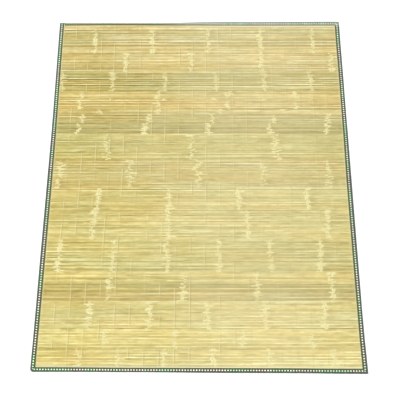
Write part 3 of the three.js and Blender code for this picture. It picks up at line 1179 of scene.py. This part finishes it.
@dataclass
class TapePath:
    """Where the folded tape runs: its fold and its two edges at each station, seen from above."""

    outline: Outline
    flat_width: float = 50 * MM
    inner_radius: float = 2 * MM
    air_gap: float = 0.3 * MM
    clear_before: float = 2 * MM
    clear_after: float = 0.5 * MM
    step: float = 7 * MM
    corner_steps: int = 8

    def __post_init__(self) -> None:
        """Works out all the stations, side by side."""
        runs = []
        for index in range(len(SIDES)):
            run = self.side_run(index)
            runs.append((*run, np.full(len(run[0]), index)))
            if index + 1 < len(SIDES):
                turn = self.corner_run(index)
                runs.append((*turn, index + (np.arange(len(turn[0])) >= self.corner_steps // 2)))
        whole = [np.concatenate(part) for part in zip(*runs)]
        self.fold, self.front, self.back, self.front_width, self.side_of = whole

    def front_at(self, index: int, corner: tuple[int, int]) -> float:
        """Width of the tape in front on a side, at the corner that the two signs name."""
        side = SIDES[index]
        half = self.outline.half_width if side.along[0] else self.outline.half_length
        sign = corner[0] if side.along[0] else corner[1]
        return float(self.outline.front(side.name, sign * half))

    def side_run(self, index: int) -> tuple[np.ndarray, np.ndarray, np.ndarray, np.ndarray]:
        """Stations of a straight run, square to the side, clear of the mitres at its ends.

        The front edge lies the front width in from the fold, and the back edge the rest of the
        tape's width. The first run starts beside the last one, which ends at the outline's corner.

        Args:
            index: the side's place in the table.

        Returns:
            Fold, front edge and back edge as X and Y, and the front widths.
        """
        side = SIDES[index]
        along = np.array(side.along, float)
        inward = np.array([along[1], -along[0]])
        axis = 0 if side.along[0] else 1
        sign = along[axis]
        if index == 0:
            butted = self.front_at(-1, (-1, 1))
            widest = max(butted, self.flat_width - butted)
            start = self.outline.corner(-1, 1)[0] + widest + self.air_gap
            clear_start = 0.0
        else:
            before = SIDES[index - 1].corner
            start = self.outline.corner(*before)[axis]
            beside = self.flat_width - self.front_at(index - 1, before)
            clear_start = beside + self.inner_radius + self.clear_after
        end = self.outline.corner(*side.corner)[axis]
        clear_end = 0.0
        if index + 1 < len(SIDES):
            beside = self.flat_width - self.front_at(index + 1, side.corner)
            clear_end = beside + self.inner_radius + self.clear_before
        low, high = start + sign * clear_start, end - sign * clear_end
        count = int(abs(high - low) / self.step)
        place = np.linspace(low, high, count + 1)
        edge = self.outline.edge(side.name, place)
        fold = np.stack([place, edge] if axis == 0 else [edge, place], axis=-1)
        width = self.outline.front(side.name, place)
        front = fold + inward * width[:, None]
        back = fold + inward * (self.flat_width - width)[:, None]
        return fold, front, back, width

    def corner_run(self, index: int) -> tuple[np.ndarray, np.ndarray, np.ndarray, np.ndarray]:
        """Stations round a corner: fold and edges take a quarter turn, each at its own radius.

        A quarter turn of radius r about a corner goes from r before it, along the side that
        ends there, to r after it, along the next: r times (sine minus 1) along the one and r
        times (1 minus cosine) along the other.

        Args:
            index: the side that ends in the corner.

        Returns:
            Fold, front edge and back edge as X and Y, and the front widths.
        """
        side, following = SIDES[index], SIDES[index + 1]
        before, after = np.array(side.along, float), np.array(following.along, float)
        corner = self.outline.corner(*side.corner)
        angle = np.linspace(0, math.pi / 2, self.corner_steps + 1)[:, None]

        def turn(centre: np.ndarray, radius: float) -> np.ndarray:
            """The quarter turn of that radius."""
            return centre + before * radius * (np.sin(angle) - 1) + after * radius * (1 - np.cos(angle))

        def mitre(width_before: float, width_after: float) -> np.ndarray:
            """Where the inner edges of the two sides meet."""
            return corner + after * width_before - before * width_after

        widths = self.front_at(index, side.corner), self.front_at(index + 1, side.corner)
        front = turn(mitre(*widths), self.inner_radius)
        back = turn(mitre(*(self.flat_width - width for width in widths)), self.inner_radius)
        return turn(corner, side.radius), front, back, np.linspace(*widths, self.corner_steps + 1)


@dataclass
class BindingTape:
    """The tape, folded over the slats' ends and the outer slats, and its sewing."""

    path: TapePath
    material: bpy.types.Material
    thread: bpy.types.Material
    height: float = 3.8 * MM
    thickness: float = 0.6 * MM
    fold_steps: int = 10
    flange_steps: int = 10
    crown: float = 0.22 * MM
    ripple: float = 0.16 * MM
    dip: float = 0.20 * MM
    dip_place: float = 0.88
    dip_half: float = 0.07
    sewing_inset: float = 2.6 * MM
    stitch_pitch: float = 4.4 * MM
    stitch_length: float = 3.3 * MM
    stitch_radius: float = 0.34 * MM
    stitch_rise: float = 0.30 * MM
    stitch_sink: float = 0.22 * MM
    back_height: float = 0.24 * MM
    ring_points: int = 5
    stitch_rows: int = 5

    def section(self) -> tuple[np.ndarray, np.ndarray, np.ndarray, np.ndarray]:
        """The folded section, round it once: out over the back, round the fold, over the front.

        Returns:
            For each point: whether it belongs to the front flange, its depth from the fold in
            metres round the turn, its share of the way from the turn to the flange's edge, and
            its height.
        """
        radius = self.height / 2
        share = np.linspace(0, 1, self.flange_steps + 1)[1:]
        outer = np.linspace(-math.pi / 2, math.pi / 2, self.fold_steps + 1)
        parts = []
        for wall, reverse in ((0.0, False), (self.thickness, True)):
            inner = radius - wall
            depth = radius - inner * np.cos(outer)
            height = radius + inner * np.sin(outer)
            back = np.stack(np.broadcast_arrays(0.0, radius, share, wall), 1)[::-1]
            front = np.stack(np.broadcast_arrays(1.0, radius, share, self.height - wall), 1)
            bend = np.stack([height > radius, depth, 0 * depth, height], 1)
            whole = np.concatenate([back, bend, front])
            parts.append(whole[::-1] if reverse else whole)
        rows = np.concatenate(parts)
        return rows[:, 0] > 0.5, rows[:, 1], rows[:, 2], rows[:, 3]

    def relief(self, x: np.ndarray, y: np.ndarray, share: np.ndarray) -> np.ndarray:
        """How far the front flange stands above its flat.

        It is a low crown between the fold and the sewing, less a dip along the sewing, plus slow
        ripples along the side.

        Args:
            x: X of the places.
            y: Y of the places.
            share: their share of the way from the fold to the flange's edge.

        Returns:
            The heights above the flat.
        """
        crown = self.crown * np.sin(math.pi * np.clip(share, 0, 1)) ** 0.8
        dip = self.dip * np.exp(-(((share - self.dip_place) / self.dip_half) ** 2))
        wave = np.sin(61 * x + 47 * y) + 0.6 * np.sin(131 * x - 113 * y + 1.0)
        return crown - dip + self.ripple * 0.5 * (1 + 0.6 * wave) * np.clip(share * 4, 0, 1)

    def build_tape(self) -> Piece:
        """Carries the folded section along the path, closed at both cut ends.

        A section's point lies on the line from the station's fold to its front or back edge, at
        the depth or share that the section gives. The map's first coordinate is the distance
        along the side that the face belongs to, so that the pattern meets at each mitre, and
        the second the distance from the tape's front edge.

        Returns:
            The finished tape.
        """
        path = self.path
        in_front, depth, share, height = self.section()
        count, stations = len(depth), len(path.fold)
        width = np.where(in_front, path.front_width[:, None], path.flat_width - path.front_width[:, None])
        far = depth + share * (width - depth)
        edge = np.where(in_front[None, :, None], path.front[:, None, :], path.back[:, None, :])
        fold = path.fold[:, None, :]
        place = fold + (edge - fold) * (far / width)[:, :, None]
        z = np.broadcast_to(height, (stations, count)).copy()
        lift = self.relief(place[..., 0], place[..., 1], far / width)
        z = np.where(in_front & (share > 0), z + lift, z)
        points = np.concatenate([place, z[..., None]], axis=-1).reshape(-1, 3)

        quads = grid_faces(stations, count)
        half = count // 2
        pair = np.arange(half - 1)
        cap = np.stack([pair, count - 1 - pair, count - 2 - pair, pair + 1], axis=-1)
        start, end = cap, cap[:, ::-1] + (stations - 1) * count
        faces = np.concatenate([quads.reshape(-1, 4), start, end])
        tape = mesh_piece("woven_binding", points, faces.tolist(), self.material)

        along = np.array([side.along for side in SIDES], float)[path.side_of[:-1]]
        flat = points.reshape(stations, count, 3)[..., :2]
        u_low = (flat[:-1] * along[:, None, :]).sum(-1)
        u_high = (flat[1:] * along[:, None, :]).sum(-1)
        from_front = np.where(in_front, width - far, path.flat_width - (width - far))
        v_low, v_high = from_front[:-1], from_front[1:]
        following = np.roll(np.arange(count), -1)
        u = np.stack([u_low, u_low[:, following], u_high[:, following], u_high], -1)
        v = np.stack([v_low, v_low[:, following], v_high[:, following], v_high], -1)
        loops = np.stack([u, v], -1).reshape(-1, 2)
        ends = np.zeros(((len(start) + len(end)) * 4, 2))
        layer = tape.data.uv_layers.new(name="TapeMap")
        layer.data.foreach_set("uv", np.concatenate([loops, ends]).astype(np.float32).ravel())
        return tape

    def sewing_line(self) -> tuple[np.ndarray, np.ndarray, np.ndarray]:
        """Middles of the stitches in front, their directions, and their heights.

        Returns:
            Places as X and Y, unit directions, and the height of the tape under each.
        """
        path = self.path
        back_in = self.sewing_inset / path.front_width[:, None]
        line = path.front + (path.fold - path.front) * back_in
        steps = np.linalg.norm(np.diff(line, axis=0), axis=1)
        travelled = np.concatenate([[0.0], np.cumsum(steps)])
        at = np.arange(0.5, int(travelled[-1] / self.stitch_pitch) - 0.5) * self.stitch_pitch
        place = np.stack([np.interp(at, travelled, line[:, axis]) for axis in (0, 1)], -1)
        ahead = np.stack([np.interp(at + MM, travelled, line[:, axis]) for axis in (0, 1)], -1)
        direction = ahead - place
        direction = direction / np.maximum(np.linalg.norm(direction, axis=1), 1e-9)[:, None]
        width = np.interp(at, travelled, path.front_width)
        height = self.height + self.relief(place[:, 0], place[:, 1], 1 - self.sewing_inset / width)
        return place, direction, height

    def build_stitches(self, name: str, in_front: bool) -> Piece:
        """Lays a short bent thread at each stitch, sunk in the tape at both ends.

        A stitch is a ring of points carried over an arc: it rises from the tape by a sine of its
        share of the way, and its radius closes to a third at the sunken ends.

        Args:
            name: the piece's name.
            in_front: whether these are the stitches in front or those underneath.

        Returns:
            The finished stitches.
        """
        place, direction, height = self.sewing_line()
        share = np.linspace(0, 1, self.stitch_rows)
        angle = np.arange(self.ring_points) * 2 * math.pi / self.ring_points
        length = (share - 0.5) * self.stitch_length
        radius = self.stitch_radius * np.clip(np.sin(math.pi * share), 0.35, 1.0)
        arch = self.stitch_rise * np.sin(math.pi * share) - self.stitch_sink
        sideways = np.stack([-direction[:, 1], direction[:, 0]], -1)
        middle = place[:, None, :] + direction[:, None, :] * length[None, :, None]
        spread = radius[:, None] * np.cos(angle)
        flat = middle[:, :, None, :] + sideways[:, None, None, :] * spread[None, :, :, None]
        rise = arch[:, None] + radius[:, None] * np.sin(angle)
        if in_front:
            z = height[:, None, None] + rise
        else:
            z = np.broadcast_to(self.back_height + 0.5 * rise, flat.shape[:3])
        return strips(name, np.concatenate([flat, z[..., None]], -1), self.thread)

    def build(self) -> list[Piece]:
        """Builds the tape and its stitches.

        Returns:
            The pieces.
        """
        tape = self.build_tape()
        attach(tape, "root")
        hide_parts("binding_tape")
        stitches = []
        for name, in_front in (("stitches_front", True), ("stitches_back", False)):
            row = self.build_stitches(name, in_front)
            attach(row, "root")
            stitches.append(row)
        return [tape, *stitches]


@dataclass
class StringRows:
    """The thread rows that run through the slats, and show in the gaps between them."""

    outline: Outline
    material: bpy.types.Material
    radius: float = 0.35 * MM
    height: float = 2.15 * MM
    end_inset: float = 12 * MM
    ring_points: int = 6
    steps: int = 60

    def build(self) -> Piece:
        """Carries a ring of points along Y at each row, with the rows' slow sway.

        Returns:
            All the rows as one piece.
        """
        reach = self.outline.half_length - self.end_inset
        y = np.linspace(reach, -reach, self.steps)
        angle = np.arange(self.ring_points) * 2 * math.pi / self.ring_points
        base = STRINGS.start + np.arange(STRINGS.rows) * STRINGS.pitch
        x = (base[:, None] + STRINGS.sway(y))[:, :, None] + self.radius * np.cos(angle)
        z = np.broadcast_to(self.height + self.radius * np.sin(angle), x.shape)
        rings = np.stack([x, np.broadcast_to(y[None, :, None], x.shape), z], -1)
        piece = strips("slat_threads", rings, self.material)
        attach(piece, "root")
        LOG.info("%s: %d rows", piece.name, STRINGS.rows)
        return piece


@dataclass(frozen=True)
class Studio:
    """The floor, the soft light and the camera at the photograph's angle."""

    floor_half: float = 9.0
    floor_drop: float = 0.05 * MM
    sky_strength: float = 0.92
    lens: float = 94.86
    sensor: float = 36.0
    camera_place: Triple = (0.0469, -2.7011, 4.4373)
    camera_turn_deg: Triple = (30.291, 0.41, 0.22)

    def floor(self) -> None:
        """A wide, level floor just under the mat."""
        half = self.floor_half
        corners = ((-half, -half), (half, -half), (half, half), (-half, half))
        points = np.array([(x, y, -self.floor_drop) for x, y in corners])
        floor = mesh_piece("floor", points, [[0, 1, 2, 3]], FloorFinish().material())

    def area_light(self, name: str, place: Triple, size: Pair, watts: float, colour: Triple) -> None:
        """An oblong soft light that looks at the mat's middle.

        Args:
            name: the light's name.
            place: where it hangs, in metres.
            size: its width and height, in metres.
            watts: its power.
            colour: its colour in linear light.
        """
        light = bpy.data.lights.new(name, "AREA")
        light.shape = "RECTANGLE"
        light.size, light.size_y = size
        light.energy = watts
        light.color = colour
        lamp = bpy.data.objects.new(name, light)
        lamp.location = place
        back = np.array(place) / np.linalg.norm(place)
        pitch = math.acos(back[2])
        lamp.rotation_euler = (pitch, 0.0, math.atan2(back[0], -back[1]))
        bpy.context.scene.collection.objects.link(lamp)

    def lights(self) -> None:
        """An even white sky, a soft key, and a cool sheen light beyond the mat's far end."""
        world = bpy.data.worlds.new("sky")
        world.use_nodes = True
        background = world.node_tree.nodes["Background"]
        background.inputs["Color"].default_value = (1.0, 1.0, 1.0, 1.0)
        background.inputs["Strength"].default_value = self.sky_strength
        bpy.context.scene.world = world
        self.area_light("key", (-1.5, -1.0, 5.0), (4.0, 4.0), 120.0, (1.0, 0.98, 0.95))
        self.area_light("sheen", (0.55, 3.6, 5.6), (1.2, 3.0), 60.0, (0.92, 0.96, 1.0))

    def camera(self) -> None:
        """The camera, with the lens, place and turn that fit the photograph's four corners."""
        data = bpy.data.cameras.new("camera")
        data.lens = self.lens
        data.sensor_width = self.sensor
        camera = bpy.data.objects.new("camera", data)
        camera.location = self.camera_place
        camera.rotation_euler = [math.radians(turn) for turn in self.camera_turn_deg]
        bpy.context.scene.collection.objects.link(camera)
        bpy.context.scene.camera = camera

    def build(self) -> None:
        """Sets up floor, lights, camera and an even colour transform."""
        self.floor()
        self.lights()
        self.camera()
        bpy.context.scene.view_settings.view_transform = "Standard"


def main() -> None:
    """Builds the mat's pieces in the order that a maker would, then the studio."""
    logging.basicConfig(level=logging.INFO, format="%(name)s: %(message)s")
    outline = Outline()
    StringRows(outline, ThreadFinish("string", (214, 204, 166)).material()).build()
    SlatPanel(outline, BambooFinish().material()).build()
    sewing = ThreadFinish("sewing_thread", (104, 118, 76)).material()
    BindingTape(TapePath(outline), TapeFinish().material(), sewing).build()
    Studio().build()


if __name__ == "__main__":
    main()
